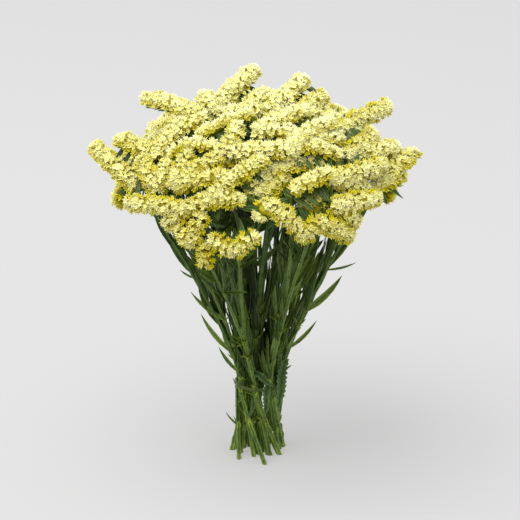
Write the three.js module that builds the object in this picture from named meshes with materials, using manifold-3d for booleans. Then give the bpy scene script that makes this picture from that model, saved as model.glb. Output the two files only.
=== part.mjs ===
// A standing bunch of yellow statice, tied at its waist.
// Millimetres, +Z up, +X to the right and -Y to the front. The origin is the middle of the bottom of the
// bunch's box, on the surface that the bunch stands on. Until the last step, places are measured from the
// middle of the middle stem's cut end.
// Stems that touch at the tie are joined in pairs. Each pair is one green solid: the winged stems, their
// branches, leaves and bracts, and the rachis under each spike.
// Each head is one yellow solid: the papery florets of the spikes that share a branch tip.

import * as THREE from "three";
import { mergeVertices } from "three/addons/utils/BufferGeometryUtils.js";
import Module from "manifold-3d";

const wasm = await Module();
wasm.setup();

// Driving dimensions. Turns, bearings and angles are in degrees.

const GAP = 0.62; // between a rachis and the florets on it
const GROW = 0.34; // how much a piece is swollen before it cuts its neighbour
const CLEAR = 0.001; // pieces that share less than this volume are clear of each other
const TILT = THREE.MathUtils.degToRad(21); // the front places are read looking down by this much
const DOME = { radius: 205, rise: 150, top: 515 }; // the surface that the rachises lie on
const STEM = { width: 8.6, thick: 5.2 }; // a winged stem at its cut end
const TWIG = { width: 5.2, thick: 3.8, past: 2 }; // a stem or branch where it ends, past its head's seat
const BRANCH = { width: 6.8, thick: 4.4, from: 0.12, leaving: 0.35, arriving: 0.3 };
const RACHIS = { width: 5, keel: 4, taper: 0.5, from: 0.2, to: 0.95, short: 66 }; // short ones are straight
const FOOT = { sunk: 6, turn: 85 }; // the stems start under the surface and are cut flush with it
const WAIST = { height: 88, turn: 22, across: 2 }; // the bunch leans a little to the right here
const NECK = { height: 113, turn: 14, across: 2 };
const SPREAD = 1.25; // power by which a stem bends outwards as it rises
const FORK = [0.4, 0.58]; // where branches leave, as shares of the way from the tie to the head
const FLORET = { pitch: 16, bump: 0.17, jitter: 0.12 };
const COVER = { wrap: 118, from: 0.2, lift: 3.4, lifted: 0.4 }; // how far florets reach
const SPIKE = { half: 13.5, middle: 6.5, seat: 7, arch: 0.06, slope: 0.5 };
const FRONT_SPIKE = { size: 1, columns: 5 }; // columns of peaks and pits across it
const SWELL = { start: 0.72, end: 0.76, back: 0.2, front: 0.4 }; // the florets where a spike starts and ends
const LEAN = { up: 0.55, out: 0.45, spread: 0.35 };
const LEAF = { thick: 1.3, root: 3, droop: 0.12 };
const BLADE = { from: 0.3, root: 0.4, belly: 2.6, taper: 0.35, tip: 0.12, thin: 0.6 }; // shares of its size
const BRACT = { length: 24, width: 3.4, thick: 1.6, angle: 32, at: [0.36, 0.6], from: 24 };
const TIE = { height: 101, inner: 33.1, cord: 2, turns: 2, neck: 0.25, sides: 4, around: 12 };
const SURFACE = { side: 300, deep: 40 }; // what the stems are cut flush with

// Rings of stems: how far out at the foot and at the tie, how much of the foot's turn they make, and how far
// their heads spread as a share of the widest.

const RINGS = {
  outer: { foot: 36, tied: 31, twist: 1, reach: 0.92 },
  second: { foot: 29, tied: 27, twist: 0.75, reach: 0.7 },
  third: { foot: 21, tied: 21.5, twist: 0.9, reach: 0.52 },
  fourth: { foot: 13, tied: 17.5, twist: 0.6, reach: 0.3 },
  middle: { foot: 0, tied: 12, twist: 0, reach: 0.1 },
};
const WIDEST = 42; // from upright
const OUTER_AT = -164; // bearing of the first outer pair, before its turns
const OUTER_AIMS = [-143, -110, -70, -37, 15, 60, 105, 155]; // bearings that the outer pairs lean to
const OUTER_KICKS = [1.6, 1.05, 1, 1.1, 1.1, 1.1, 1, 1.3]; // how much further out their feet stand
const INNER_PAIRS = [
  { beside: 0, aim: -130 },
  { beside: 1, aim: -98 },
  { beside: 3, aim: -40 },
  { beside: 4, aim: 45 },
  { beside: 6, aim: 125 },
];

// Heads that show from the front: where the branch ends, then where each spike ends.
// Each place is [across, up] as seen from the front, and deeper pushes a head straight back from that view.

const FRONT_HEADS = [
  { base: [-61, 461], tips: [[-11, 513], [-71, 477]] },
  { base: [-24, 456], tips: [[5, 483], [35, 462], [-65, 458]], deeper: 12 },
  { base: [26, 465], tips: [[58, 500], [14, 479]] },
  { base: [54, 460], tips: [[82, 480], [101, 450]] },
  { base: [103, 439], tips: [[167, 469], [136, 437]] },
  { base: [116, 400], tips: [[147, 426], [177, 411]] },
  { base: [157, 352], tips: [[207, 398], [188, 366]] },
  { base: [91, 369], tips: [[158, 388], [133, 360]] },
  { base: [95, 335], tips: [[150, 343], [124, 317]] },
  { base: [44, 344], tips: [[91, 369]] },
  { base: [78, 313], tips: [[114, 296], [61, 296]] },
  { base: [14, 335], tips: [[53, 301], [5, 324]] },
  { base: [5, 340], tips: [[-16, 364], [30, 362], [12, 382]], deeper: 22 },
  { base: [-65, 335], tips: [[1, 386], [-30, 337]] },
  { base: [-92, 329], tips: [[-162, 337], [-112, 313], [-58, 342]] },
  { base: [-109, 354], tips: [[-49, 367], [-57, 390], [-94, 392]] },
  { base: [-133, 351], tips: [[-152, 386], [-122, 381]] },
  { base: [-164, 355], tips: [[-217, 406], [-168, 378]] },
  { base: [-136, 394], tips: [[-180, 418], [-97, 450]] },
  { base: [-71, 450], tips: [[-146, 476], [-98, 434]] },
  { base: [-86, 409], tips: [[-15, 447], [-107, 400], [-60, 404]] },
  { base: [-41, 400], tips: [[42, 404], [-30, 432]] },
  { base: [-7, 426], tips: [[57, 456], [40, 428]] },
  { base: [41, 407], tips: [[103, 418], [94, 439], [98, 398]] },
  { base: [-63, 374], tips: [[-18, 392]], deeper: 20 },
  { base: [14, 369], tips: [[57, 386], [91, 386]], deeper: 20 },
  { base: [57, 321], tips: [[91, 335]], deeper: 20 },
  { base: [-30, 273], tips: [[-53, 284], [-10, 287]] },
  { base: [-68, 258], tips: [[-68, 273]] },
  { base: [-86, 283], tips: [[-98, 299], [-75, 310]] },
];

// Heads that only the back shows, in rings round the dome: how many, between which bearings, and how far out.

const BACK_RINGS = [
  { heads: 4, from: 18, to: 162, out: 82, lower: 32 },
  { heads: 5, from: 0, to: 180, out: 130, lower: 34 },
  { heads: 6, from: 22, to: 156, out: 176, lower: 46 },
];
const BACK_HEADINGS = [15, 130, 250]; // of a back head's spikes, from straight out
const BACK_SPIKE = { size: 1.32, columns: 4, length: 54 };

// Leaves that show from the front, as [across, up] from that view: where each leaves its stem, and its tip.

const FRONT_LEAVES = [
  { base: [68, 193], tip: [114, 240], width: 11 },
  { base: [50, 140], tip: [80, 178], width: 7 },
  { base: [37, 109], tip: [46, 117], width: 4 },
  { base: [102, 245], tip: [132, 258], width: 4 },
  { base: [-49, 180], tip: [-91, 218], width: 7 },
  { base: [-38, 136], tip: [-78, 188], width: 8 },
  { base: [-31, 109], tip: [-54, 142], width: 6 },
  { base: [-86, 240], tip: [-105, 248], width: 3.6 },
  { base: [-102, 278], tip: [-117, 288], width: 3.2 },
  { base: [-35, 33], tip: [-44, 51], width: 3.6 },
  { base: [12, 92], tip: [-4, 106], width: 7 },
  { base: [-12, 82], tip: [-30, 64], width: 6 },
  { base: [-8, 252], tip: [27, 282], width: 10 },
  { base: [4, 170], tip: [15, 262], width: 10 },
  { base: [-22, 288], tip: [-14, 344], width: 11 },
  { base: [-36, 284], tip: [-33, 328], width: 9 },
  { base: [62, 222], tip: [82, 272], width: 10 },
];
const BACK_LEAVES = { pairs: [2, 3, 4, 5], at: [0.42, 0.64], length: 52, width: 9, angle: 30 };

// Curves and places

const rim = DOME.top - DOME.rise;
const up = new THREE.Vector3(0, 0, 1);
const viewUp = new THREE.Vector3(0, Math.sin(TILT), Math.cos(TILT));
const viewIn = new THREE.Vector3(0, Math.cos(TILT), -Math.sin(TILT));

function random(seed) {
  let state = seed;
  return () => {
    state = (state * 16807) % 2147483647;
    return state / 2147483647;
  };
}

// The dome's point that shows at [across, high] from the front.
function onDome([across, high]) {
  const half = Math.sqrt(Math.max(DOME.radius ** 2 - across ** 2, 0));
  const rise = ((DOME.rise * half) / DOME.radius) * Math.cos(TILT);
  const run = half * Math.sin(TILT);
  const crest = Math.atan2(run, rise);
  const share = (high - rim * Math.cos(TILT)) / Math.max(Math.hypot(rise, run), 1e-6);
  const turn = crest - Math.acos(THREE.MathUtils.clamp(share, -1, 1));
  const back = half * Math.sin(Math.max(turn, -Math.PI / 2));
  return new THREE.Vector3(across, back, (high - back * Math.sin(TILT)) / Math.cos(TILT));
}

// The point that shows at place from the front, no deeper or nearer than SPIKE.slope lets a spike run.
function spikeTip(base, baseAt, tipAt) {
  const shown = new THREE.Vector2(tipAt[0] - baseAt[0], tipAt[1] - baseAt[1]);
  const steepest = SPIKE.slope * shown.length();
  const deeper = onDome(tipAt).sub(onDome(baseAt)).dot(viewIn);
  return base
    .clone()
    .add(new THREE.Vector3(shown.x, 0, 0))
    .addScaledVector(viewUp, shown.y)
    .addScaledVector(viewIn, THREE.MathUtils.clamp(deeper, -steepest, steepest));
}

function atBearing(bearing, out, z) {
  const turn = THREE.MathUtils.degToRad(bearing);
  return new THREE.Vector3(out * Math.cos(turn), out * Math.sin(turn), z);
}

function domeHeight(out) {
  return rim + DOME.rise * Math.sqrt(Math.max(1 - (out / DOME.radius) ** 2, 0));
}

function outward(place) {
  return new THREE.Vector3(
    place.x / DOME.radius ** 2,
    place.y / DOME.radius ** 2,
    Math.max(place.z - rim, 0) / DOME.rise ** 2 + 1e-4,
  ).normalize();
}

function between(from, to) {
  return (share) => THREE.MathUtils.lerp(from, to, share);
}

// Solids

function solid(vertices, triangles) {
  const made = (faces) =>
    new wasm.Manifold(
      new wasm.Mesh({
        numProp: 3,
        vertProperties: new Float32Array(vertices.flatMap((v) => v.toArray())),
        triVerts: new Uint32Array(faces.flat()),
      }),
    );
  const shape = made(triangles);
  return shape.volume() > 0 ? shape : made(triangles.map(([a, b, c]) => [a, c, b]));
}

function solidOf(geometry) {
  geometry.deleteAttribute("normal");
  geometry.deleteAttribute("uv");
  const merged = mergeVertices(geometry, 1e-4);
  return new wasm.Manifold(
    new wasm.Mesh({
      numProp: 3,
      vertProperties: merged.attributes.position.array,
      triVerts: new Uint32Array(merged.index.array),
    }),
  );
}

// Joins rings of equal size into a closed skin, with a point at each end.
function skin(rings, start, end, lowDiagonal = () => true) {
  const around = rings[0].length;
  const vertices = [...rings.flat(), start, end];
  const triangles = [];
  for (let i = 0; i + 1 < rings.length; i++)
    for (let j = 0; j < around; j++) {
      const a = i * around + j;
      const b = i * around + ((j + 1) % around);
      const c = a + around;
      const d = b + around;
      if (lowDiagonal(i, j)) triangles.push([a, b, d], [a, d, c]);
      else triangles.push([a, b, c], [b, d, c]);
    }
  const last = (rings.length - 1) * around;
  for (let j = 0; j < around; j++) {
    const next = (j + 1) % around;
    triangles.push([next, j, rings.length * around]);
    triangles.push([last + j, last + next, rings.length * around + 1]);
  }
  return solid(vertices, triangles);
}

// Sections, as the shares of half the width and half the thickness at which their corners lie.
const WINGED = [[1, 0], [0, 1], [-1, 0], [0, -1]];
const KEELED = [[1, 0.6], [-1, 0.6], [0, -1]];
const FLAT = [[1, 1], [-1, 1], [-1, -1], [1, -1]];

// A strap along a curve. wide is the way that its width runs, and from is where its first section lies. What
// is before that narrows to a point, which is sunk in what the strap grows from.
function strap(curve, steps, section, wide, width, thick, extra, from = 0) {
  const rings = [];
  for (let i = 0; i <= steps; i++) {
    const t = from + ((1 - from) * i) / steps;
    const along = curve.getTangent(t);
    const side = wide.clone().addScaledVector(along, -wide.dot(along)).normalize();
    const face = new THREE.Vector3().crossVectors(along, side);
    rings.push(
      section.map(([a, b]) =>
        curve
          .getPoint(t)
          .addScaledVector(side, a * (width(t) / 2) + Math.sign(a) * extra)
          .addScaledVector(face, b * (thick(t) / 2) + Math.sign(b) * extra),
      ),
    );
  }
  const start = curve.getPoint(0).addScaledVector(curve.getTangent(0), -extra);
  const end = curve.getPoint(1).addScaledVector(curve.getTangent(1), extra);
  return skin(rings, start, end);
}

// The line of a spike: it leaves base, arches by a share of its length towards lean and ends at tip.
function spikeLine(base, tip, lean) {
  const along = tip.clone().sub(base);
  const length = along.length();
  const side = along.clone().normalize().cross(lean).normalize();
  const above = side.clone().cross(along).normalize();
  return {
    length,
    side,
    at: (t) =>
      base
        .clone()
        .addScaledVector(along, t)
        .addScaledVector(above, 4 * SPIKE.arch * length * t * (1 - t)),
    above: (t) => {
      const tangent = along.clone().addScaledVector(above, 4 * SPIKE.arch * length * (1 - 2 * t));
      return side.clone().cross(tangent).normalize();
    },
  };
}

// The green keel under a spike's florets. It starts at a point inside the branch.
function rachis(line, extra) {
  const { from, to, short, taper } = RACHIS;
  const places = line.length < short ? [from, to] : [from, (from + to) / 2, to];
  const rings = places.map((t) => {
    const half = (RACHIS.width / 2) * (1 - taper * t) + extra;
    return [
      line.at(t).addScaledVector(line.side, half).addScaledVector(line.above(t), extra),
      line.at(t).addScaledVector(line.side, -half).addScaledVector(line.above(t), extra),
      line.at(t).addScaledVector(line.above(t), -RACHIS.keel * (1 - taper * t) - extra),
    ];
  });
  const end = line.at(1).addScaledVector(line.above(1), -RACHIS.keel * (1 - to));
  return skin(rings, line.at(0), end);
}

// The florets of one spike: a half round of peaks and pits that sits on the rachis.
function florets(line, seed, extra) {
  const draw = random(seed);
  const half = SPIKE.half * line.size;
  const middle = SPIKE.middle * line.size;
  const rows = Math.max(2, Math.round((line.length * (1 - COVER.from)) / (FLORET.pitch * line.size)));
  const rings = [];
  for (let i = 0; i <= rows; i++) {
    const t = THREE.MathUtils.lerp(COVER.from, 1, i / rows);
    const swell = i === rows ? SWELL.end : Math.min(1, SWELL.start + t);
    const lift = COVER.lift * Math.max(1 - t / COVER.lifted, 0);
    const ring = [];
    for (let j = 0; j < line.columns; j++) {
      const turn = THREE.MathUtils.degToRad(COVER.wrap * ((2 * j) / (line.columns - 1) - 1));
      const raised = (i + j) % 2 === 0 ? FLORET.bump : -FLORET.bump;
      const out = half * swell * (1 + raised + FLORET.jitter * (draw() - 0.5)) + extra;
      const edge = j === 0 || j === line.columns - 1;
      const high = edge ? GAP - extra : Math.max(middle + out * Math.cos(turn), GAP - extra);
      ring.push(
        line
          .at(t)
          .addScaledVector(line.side, out * Math.sin(turn))
          .addScaledVector(line.above(t), high + (edge ? lift : 0)),
      );
    }
    rings.push(ring);
  }
  const heart = (t, high, forward) =>
    line
      .at(t)
      .addScaledVector(line.above(t), high)
      .addScaledVector(line.side.clone().cross(line.above(t)), -forward);
  const pit = (i, j) => (i + j) % 2 !== 0;
  const start = heart(0, middle, -SWELL.back * half - extra);
  const end = heart(1, middle, SWELL.front * half + extra);
  return skin(rings, start, end, pit);
}

// Heads

const heads = [];

// The way that the florets of a head face: square to its first two spikes, or up and out if these run alike.
function leanOf(seat, ends) {
  const out = up.clone().multiplyScalar(LEAN.up).addScaledVector(outward(seat), LEAN.out);
  const [first, second = first] = ends.map((end) => end.clone().sub(seat).normalize());
  const square = first.clone().cross(second);
  if (square.length() < LEAN.spread) return out;
  return square.multiplyScalar(Math.sign(square.dot(out)));
}

function addHead(base, tips, { size, columns }) {
  const sink = outward(base).multiplyScalar(-SPIKE.seat);
  const seat = base.clone().add(sink);
  const ends = tips.map((tip) => tip.clone().add(sink));
  const lean = leanOf(seat, ends);
  const lines = ends.map((end) => ({ ...spikeLine(seat, end, lean), size, columns }));
  const above = lines.reduce((sum, line) => sum.add(line.above(0)), new THREE.Vector3()).normalize();
  heads.push({ base, lines, above, seat });
}

for (const { base, tips, deeper = 0 } of FRONT_HEADS) {
  const place = onDome(base).addScaledVector(viewIn, deeper);
  addHead(place, tips.map((tip) => spikeTip(place, base, tip)), FRONT_SPIKE);
}

for (const ring of BACK_RINGS)
  for (let k = 0; k < ring.heads; k++) {
    const bearing = THREE.MathUtils.lerp(ring.from, ring.to, k / (ring.heads - 1));
    const base = atBearing(bearing, ring.out, domeHeight(ring.out) - ring.lower);
    const normal = outward(base);
    const sideways = new THREE.Vector3().crossVectors(up, normal).normalize();
    const downhill = new THREE.Vector3().crossVectors(sideways, normal);
    const tips = BACK_HEADINGS.map((heading) => {
      const turn = THREE.MathUtils.degToRad(heading);
      return base
        .clone()
        .addScaledVector(downhill, BACK_SPIKE.length * Math.cos(turn))
        .addScaledVector(sideways, BACK_SPIKE.length * Math.sin(turn));
    });
    addHead(base, tips, BACK_SPIKE);
  }

// Stems. A pair is two stems of neighbouring rings on one bearing, and the middle stem is alone.

const pairs = [];

function addPair(beside, aim, rings) {
  const bearing = OUTER_AT + (360 / OUTER_AIMS.length) * beside;
  pairs.push(rings.map((ring) => ({ ...ring, bearing, aim, heads: [] })));
}

OUTER_AIMS.forEach((aim, k) => {
  const outer = { ...RINGS.outer, foot: RINGS.outer.foot * OUTER_KICKS[k] };
  addPair(k, aim, [outer, RINGS.second]);
});
for (const { beside, aim } of INNER_PAIRS) addPair(beside, aim, [RINGS.third, RINGS.fourth]);
addPair(INNER_PAIRS[1].beside, -90, [RINGS.middle]);

// How far a head lies from where a stem leans to, with both seen as places on a round chart.
function miss(stem, { base }) {
  const leaning = Math.atan2(Math.hypot(base.x, base.y), base.z - NECK.height);
  const share = THREE.MathUtils.radToDeg(leaning) / WIDEST;
  const place = new THREE.Vector2(base.x, base.y).normalize().multiplyScalar(share);
  const turn = THREE.MathUtils.degToRad(stem.aim);
  return place.distanceTo(new THREE.Vector2(Math.cos(turn), Math.sin(turn)).multiplyScalar(stem.reach));
}

// Each stem takes its nearest free head in turn, and then each head that is left joins its nearest stem.
const stems = pairs.flat();
const free = new Set(heads);
const nearest = (list, far) => list.reduce((best, item) => (far(item) < far(best) ? item : best));
for (const stem of stems) {
  const head = nearest([...free], (one) => miss(stem, one));
  stem.heads.push(head);
  free.delete(head);
}
for (const head of free)
  nearest(stems.filter((stem) => stem.heads.length < 3), (stem) => miss(stem, head)).heads.push(head);

function trunkOf(stem, sway) {
  const at = ({ height, turn, across }, out) =>
    atBearing(stem.bearing + turn, out, height).add(new THREE.Vector3(across, 0, 0));
  const tied = at(NECK, stem.tied);
  const { seat } = stem.heads[0];
  const risen = (share) => {
    const place = tied.clone().lerp(seat, share ** SPREAD);
    place.z = THREE.MathUtils.lerp(tied.z, seat.z, share);
    return place.addScaledVector(stem.wide, 4 * sway * share * (1 - share));
  };
  const end = seat.clone().add(seat.clone().sub(risen(0.9)).setLength(TWIG.past));
  return new THREE.CatmullRomCurve3([
    atBearing(stem.bearing + FOOT.turn * stem.twist, stem.foot, -FOOT.sunk),
    at(WAIST, stem.tied),
    tied,
    risen(0.25),
    risen(0.5),
    risen(0.75),
    end,
  ]);
}

// A branch leaves its stem at a share of the stem's length and ends at its head's seat.
function branchOf(stem, head, share, sway) {
  const start = stem.trunk.getPoint(share);
  const reach = start.distanceTo(head.seat);
  const arriving = head.seat.clone().sub(start).normalize().add(head.above).normalize();
  return new THREE.CubicBezierCurve3(
    start,
    start
      .clone()
      .addScaledVector(stem.trunk.getTangent(share), reach * BRANCH.leaving)
      .addScaledVector(stem.wide, sway),
    head.seat.clone().addScaledVector(arriving, -reach * BRANCH.arriving),
    head.seat.clone().addScaledVector(arriving, TWIG.past),
  );
}

// A thin blade from root to tip that arches to one side. wide is the way that its width runs.
function blade(root, tip, arch, section, wide, width, thick, extra) {
  const along = tip.clone().sub(root);
  const middle = root.clone().addScaledVector(along, 0.5).add(arch);
  const line = new THREE.QuadraticBezierCurve3(root, middle, tip);
  const shape = (t) => BLADE.root + BLADE.belly * t * (1 - t) - BLADE.taper * t;
  const outline = (t) => width * Math.max(shape(t), BLADE.tip);
  return strap(line, 2, section, wide, outline, between(thick, thick * BLADE.thin), extra, BLADE.from);
}

// Growing the green solids. Each piece is a function of how much it is swollen.

const greens = pairs.map(() => ({}));

function join(k, piece) {
  const green = greens[k];
  green.plain = green.plain ? green.plain.add(piece(0)) : piece(0);
  green.swollen = green.swollen ? green.swollen.add(piece(GROW)) : piece(GROW);
}

function crossing(k, piece) {
  const shape = piece(0);
  const shared = (other) => (other.swollen ? shape.intersect(other.swollen).volume() : 0);
  return greens.filter((other, j) => j !== k).reduce((sum, other) => sum + shared(other), 0);
}

// Finds the first of the choices whose piece is clear of every other green solid.
function clearChoice(k, choices, pieceOf) {
  return choices.find((choice) => crossing(k, pieceOf(choice)) < CLEAR);
}

const SWAYS = [0, 5, -5, 9, -9, 13, -13, 18, -18, 24, -24]; // tried in turn, to bend clear of a neighbour
const TURNS = [0, 180, 60, 240, 120, 300];
const DEPTHS = [0, -8, 8, -16, 16, -26, 26];
const ASIDE = [0.5, 0, 1, -0.5, 1.5];
const draw = random(7);

// Joins the piece of the first clear choice, or of the first choice where none is clear, and returns it.
function graft(k, choices, pieceOf) {
  const choice = clearChoice(k, choices, pieceOf) ?? choices[0];
  join(k, pieceOf(choice));
  return choice;
}

pairs.forEach((pair, k) => {
  for (const stem of pair)
    for (const { lines } of stem.heads)
      for (const line of lines) join(k, (extra) => rachis(line, extra));
});

pairs.forEach((pair, k) => {
  for (const stem of pair) {
    const turn = THREE.MathUtils.degToRad(stem.bearing + NECK.turn);
    stem.wide = new THREE.Vector3(-Math.sin(turn), Math.cos(turn), 0);
    const width = between(STEM.width, TWIG.width);
    const thick = between(STEM.thick, TWIG.thick);
    const sway = graft(k, SWAYS, (bent) => (extra) =>
      strap(trunkOf(stem, bent), 7, WINGED, stem.wide, width, thick, extra),
    );
    stem.trunk = trunkOf(stem, sway);
  }
});

// A bract leans away from a curve at a share of its length, on the side that turn gives.
function bract(curve, share, turn, extra) {
  const along = curve.getTangent(share);
  const away = up.clone().cross(along).normalize().applyAxisAngle(along, THREE.MathUtils.degToRad(turn));
  const lean = THREE.MathUtils.degToRad(BRACT.angle);
  const aim = along.clone().multiplyScalar(Math.cos(lean)).addScaledVector(away, Math.sin(lean));
  const root = curve.getPoint(share);
  const tip = root.clone().addScaledVector(aim, BRACT.length);
  const wide = new THREE.Vector3().crossVectors(aim, away).normalize();
  const arch = away.multiplyScalar(BRACT.length * LEAF.droop);
  return blade(root, tip, arch, KEELED, wide, BRACT.width, BRACT.thick, extra);
}

function addBract(k, curve, share, side) {
  const sides = TURNS.map((turn) => side + turn);
  const turn = clearChoice(k, sides, (one) => (extra) => bract(curve, share, one, extra));
  if (turn !== undefined) join(k, (extra) => bract(curve, share, turn, extra));
}

pairs.forEach((pair, k) => {
  for (const stem of pair) {
    for (const head of stem.heads.slice(1)) {
      const first = THREE.MathUtils.lerp(...FORK, draw());
      const shares = [0, -0.05, 0.05, -0.1, 0.1].map((later) => first + later);
      const choices = shares.flatMap((share) => SWAYS.map((bent) => [share, bent]));
      const width = between(BRANCH.width, TWIG.width);
      const thick = between(BRANCH.thick, TWIG.thick);
      const [share] = graft(k, choices, ([share, bent]) => (extra) =>
        strap(branchOf(stem, head, share, bent), 3, KEELED, stem.wide, width, thick, extra, BRANCH.from),
      );
      addBract(k, stem.trunk, share, 360 * draw());
    }
    const share = THREE.MathUtils.lerp(...BRACT.at, draw());
    if (stem.tied > BRACT.from) addBract(k, stem.trunk, share, 360 * draw());
  }
});

// A leaf that shows from the front grows from the stem that passes nearest to its base in that view.
for (const { base, tip, width } of FRONT_LEAVES) {
  let best = { far: Infinity };
  pairs.forEach((pair, k) => {
    for (const { trunk } of pair)
      for (let share = 0.02; share < 0.9; share += 0.01) {
        const place = trunk.getPoint(share);
        const far = Math.hypot(place.x - base[0], place.dot(viewUp) - base[1]) + 0.1 * place.dot(viewIn);
        if (far < best.far) best = { far, k, place };
      }
  });
  const { place } = best;
  const along = new THREE.Vector3(tip[0] - place.x, 0, 0).addScaledVector(viewUp, tip[1] - place.dot(viewUp));
  const wide = along.clone().normalize().cross(viewIn);
  const root = place.clone().addScaledVector(along.clone().normalize(), -LEAF.root);
  const arch = wide.clone().multiplyScalar(-Math.sign(along.x) * LEAF.droop * along.length());
  graft(best.k, DEPTHS, (depth) => (extra) => {
    const end = place.clone().add(along).addScaledVector(viewIn, depth);
    return blade(root, end, arch, FLAT, wide, width, LEAF.thick, extra);
  });
}

// Leaves of the outer stems at the back lean out from them.
for (const k of BACK_LEAVES.pairs)
  BACK_LEAVES.at.forEach((share, n) => {
    const { trunk } = pairs[k][0];
    const place = trunk.getPoint(share);
    const out = new THREE.Vector3(place.x, place.y, 0).normalize();
    const sideways = new THREE.Vector3().crossVectors(up, out).multiplyScalar(n % 2 ? 1 : -1);
    const lean = THREE.MathUtils.degToRad(BACK_LEAVES.angle);
    graft(k, ASIDE, (turn) => (extra) => {
      const away = out.clone().addScaledVector(sideways, turn).normalize();
      const aim = away.clone().multiplyScalar(Math.sin(lean)).addScaledVector(up, Math.cos(lean));
      const tip = place.clone().addScaledVector(aim, BACK_LEAVES.length);
      const wide = new THREE.Vector3().crossVectors(aim, away).normalize();
      const arch = away.clone().multiplyScalar(-LEAF.droop * BACK_LEAVES.length);
      return blade(place, tip, arch, FLAT, wide, BACK_LEAVES.width, LEAF.thick, extra);
    });
  });

// Keeps the largest body where a cut leaves a loose scrap.
function largest(shape) {
  return shape.decompose().reduce((a, b) => (a.volume() > b.volume() ? a : b));
}

// Cuts a shape by each swollen solid that reaches into it.
function cutBy(shape, others) {
  const meets = (left, other) => left.intersect(other).volume() > 0;
  return others.reduce((left, other) => (meets(left, other) ? left.subtract(other) : left), shape);
}

const bunch = new THREE.Group();

function place(name, shape, material) {
  const { vertProperties, triVerts } = shape.getMesh();
  const geometry = new THREE.BufferGeometry();
  geometry.setAttribute("position", new THREE.BufferAttribute(new Float32Array(vertProperties), 3));
  geometry.setIndex(new THREE.BufferAttribute(new Uint32Array(triVerts), 1));
  geometry.computeVertexNormals();
  const mesh = new THREE.Mesh(geometry, material);
  mesh.name = name;
  bunch.add(mesh);
}

const LEAFY = new THREE.MeshStandardMaterial({ color: 0x4b6e32, roughness: 0.7, metalness: 0 });
const PAPERY = new THREE.MeshStandardMaterial({ color: 0xe9dc6a, roughness: 0.85, metalness: 0 });
const TWINE = new THREE.MeshStandardMaterial({ color: 0x5d6b3a, roughness: 0.85, metalness: 0 });

const numbered = (name, k) => name + "_" + String(k + 1).padStart(2, "0");
const below = new THREE.BoxGeometry(SURFACE.side, SURFACE.side, SURFACE.deep);
const surface = solidOf(below.translate(0, 0, -SURFACE.deep / 2));
const swollenGreens = greens.map(({ swollen }) => swollen);
greens.forEach(({ plain }, k) => {
  const name = pairs[k].length > 1 ? numbered("stems", k) : "stem_middle";
  place(name, largest(cutBy(plain.subtract(surface), swollenGreens.slice(0, k))), LEAFY);
});

const swollenHeads = [];
heads.forEach(({ lines }, k) => {
  const spikes = (extra) => lines.map((line, n) => florets(line, 1000 + 10 * k + n, extra));
  const whole = (extra) => spikes(extra).reduce((a, b) => a.add(b));
  const shape = cutBy(cutBy(whole(0), swollenGreens), swollenHeads);
  place(numbered("head", k), largest(shape), PAPERY);
  swollenHeads.push(whole(GROW));
});

// The tie: turns of cord side by side, joined by a neck, round the outer stems.
const profile = [];

function addOutline(turn, inwards) {
  for (let i = 0; i <= TIE.sides / 2; i++) {
    const around = (2 * Math.PI * i) / TIE.sides;
    const bulge = Math.max(Math.sin(around), TIE.neck) * (TIE.cord / 2);
    const along = (turn - (TIE.turns - 1) / 2) * TIE.cord - (Math.cos(around) * TIE.cord) / 2;
    const out = TIE.inner + TIE.cord / 2;
    profile.push(inwards ? new THREE.Vector2(out - bulge, -along) : new THREE.Vector2(out + bulge, along));
  }
}

for (let turn = 0; turn < TIE.turns; turn++) addOutline(turn, false);
for (let turn = 0; turn < TIE.turns; turn++) addOutline(turn, true);
profile.push(profile[0].clone());
const ring = new THREE.LatheGeometry(profile, TIE.around).rotateX(Math.PI / 2);
const tie = solidOf(ring.translate(WAIST.across, 0, TIE.height));
place("tie", largest(cutBy(tie, swollenGreens)), TWINE);

// The origin is moved to the middle of the bottom of the box.
const box = new THREE.Box3().setFromObject(bunch, true);
const middle = box.getCenter(new THREE.Vector3()).setZ(box.min.z);
for (const { geometry } of bunch.children) geometry.translate(-middle.x, -middle.y, -middle.z);

export default bunch;
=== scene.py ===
"""A standing bunch of yellow statice, dressed in its winged stems, leaves and papery florets. Metres."""

import math
import random as drawing

import bmesh
import bpy
import numpy as np
from mathutils import Matrix, Vector
from mathutils.bvhtree import BVHTree


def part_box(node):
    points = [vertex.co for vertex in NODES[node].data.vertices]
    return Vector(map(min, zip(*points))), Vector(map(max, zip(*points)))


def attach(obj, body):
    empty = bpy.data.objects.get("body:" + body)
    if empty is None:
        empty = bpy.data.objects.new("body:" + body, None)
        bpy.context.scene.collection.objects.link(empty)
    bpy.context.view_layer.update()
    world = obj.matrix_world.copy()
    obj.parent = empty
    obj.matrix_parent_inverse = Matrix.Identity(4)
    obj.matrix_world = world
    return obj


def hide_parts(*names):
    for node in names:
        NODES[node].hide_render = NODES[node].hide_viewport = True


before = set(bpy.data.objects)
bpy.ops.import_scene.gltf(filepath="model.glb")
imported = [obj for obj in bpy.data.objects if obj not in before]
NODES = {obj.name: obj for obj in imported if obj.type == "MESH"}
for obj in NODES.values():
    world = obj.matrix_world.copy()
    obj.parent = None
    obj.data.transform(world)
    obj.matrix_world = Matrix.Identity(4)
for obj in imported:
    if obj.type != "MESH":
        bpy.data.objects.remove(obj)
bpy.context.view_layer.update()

# The layout of the bunch, as its solids have it. Turns, bearings and angles are in degrees.

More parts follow.
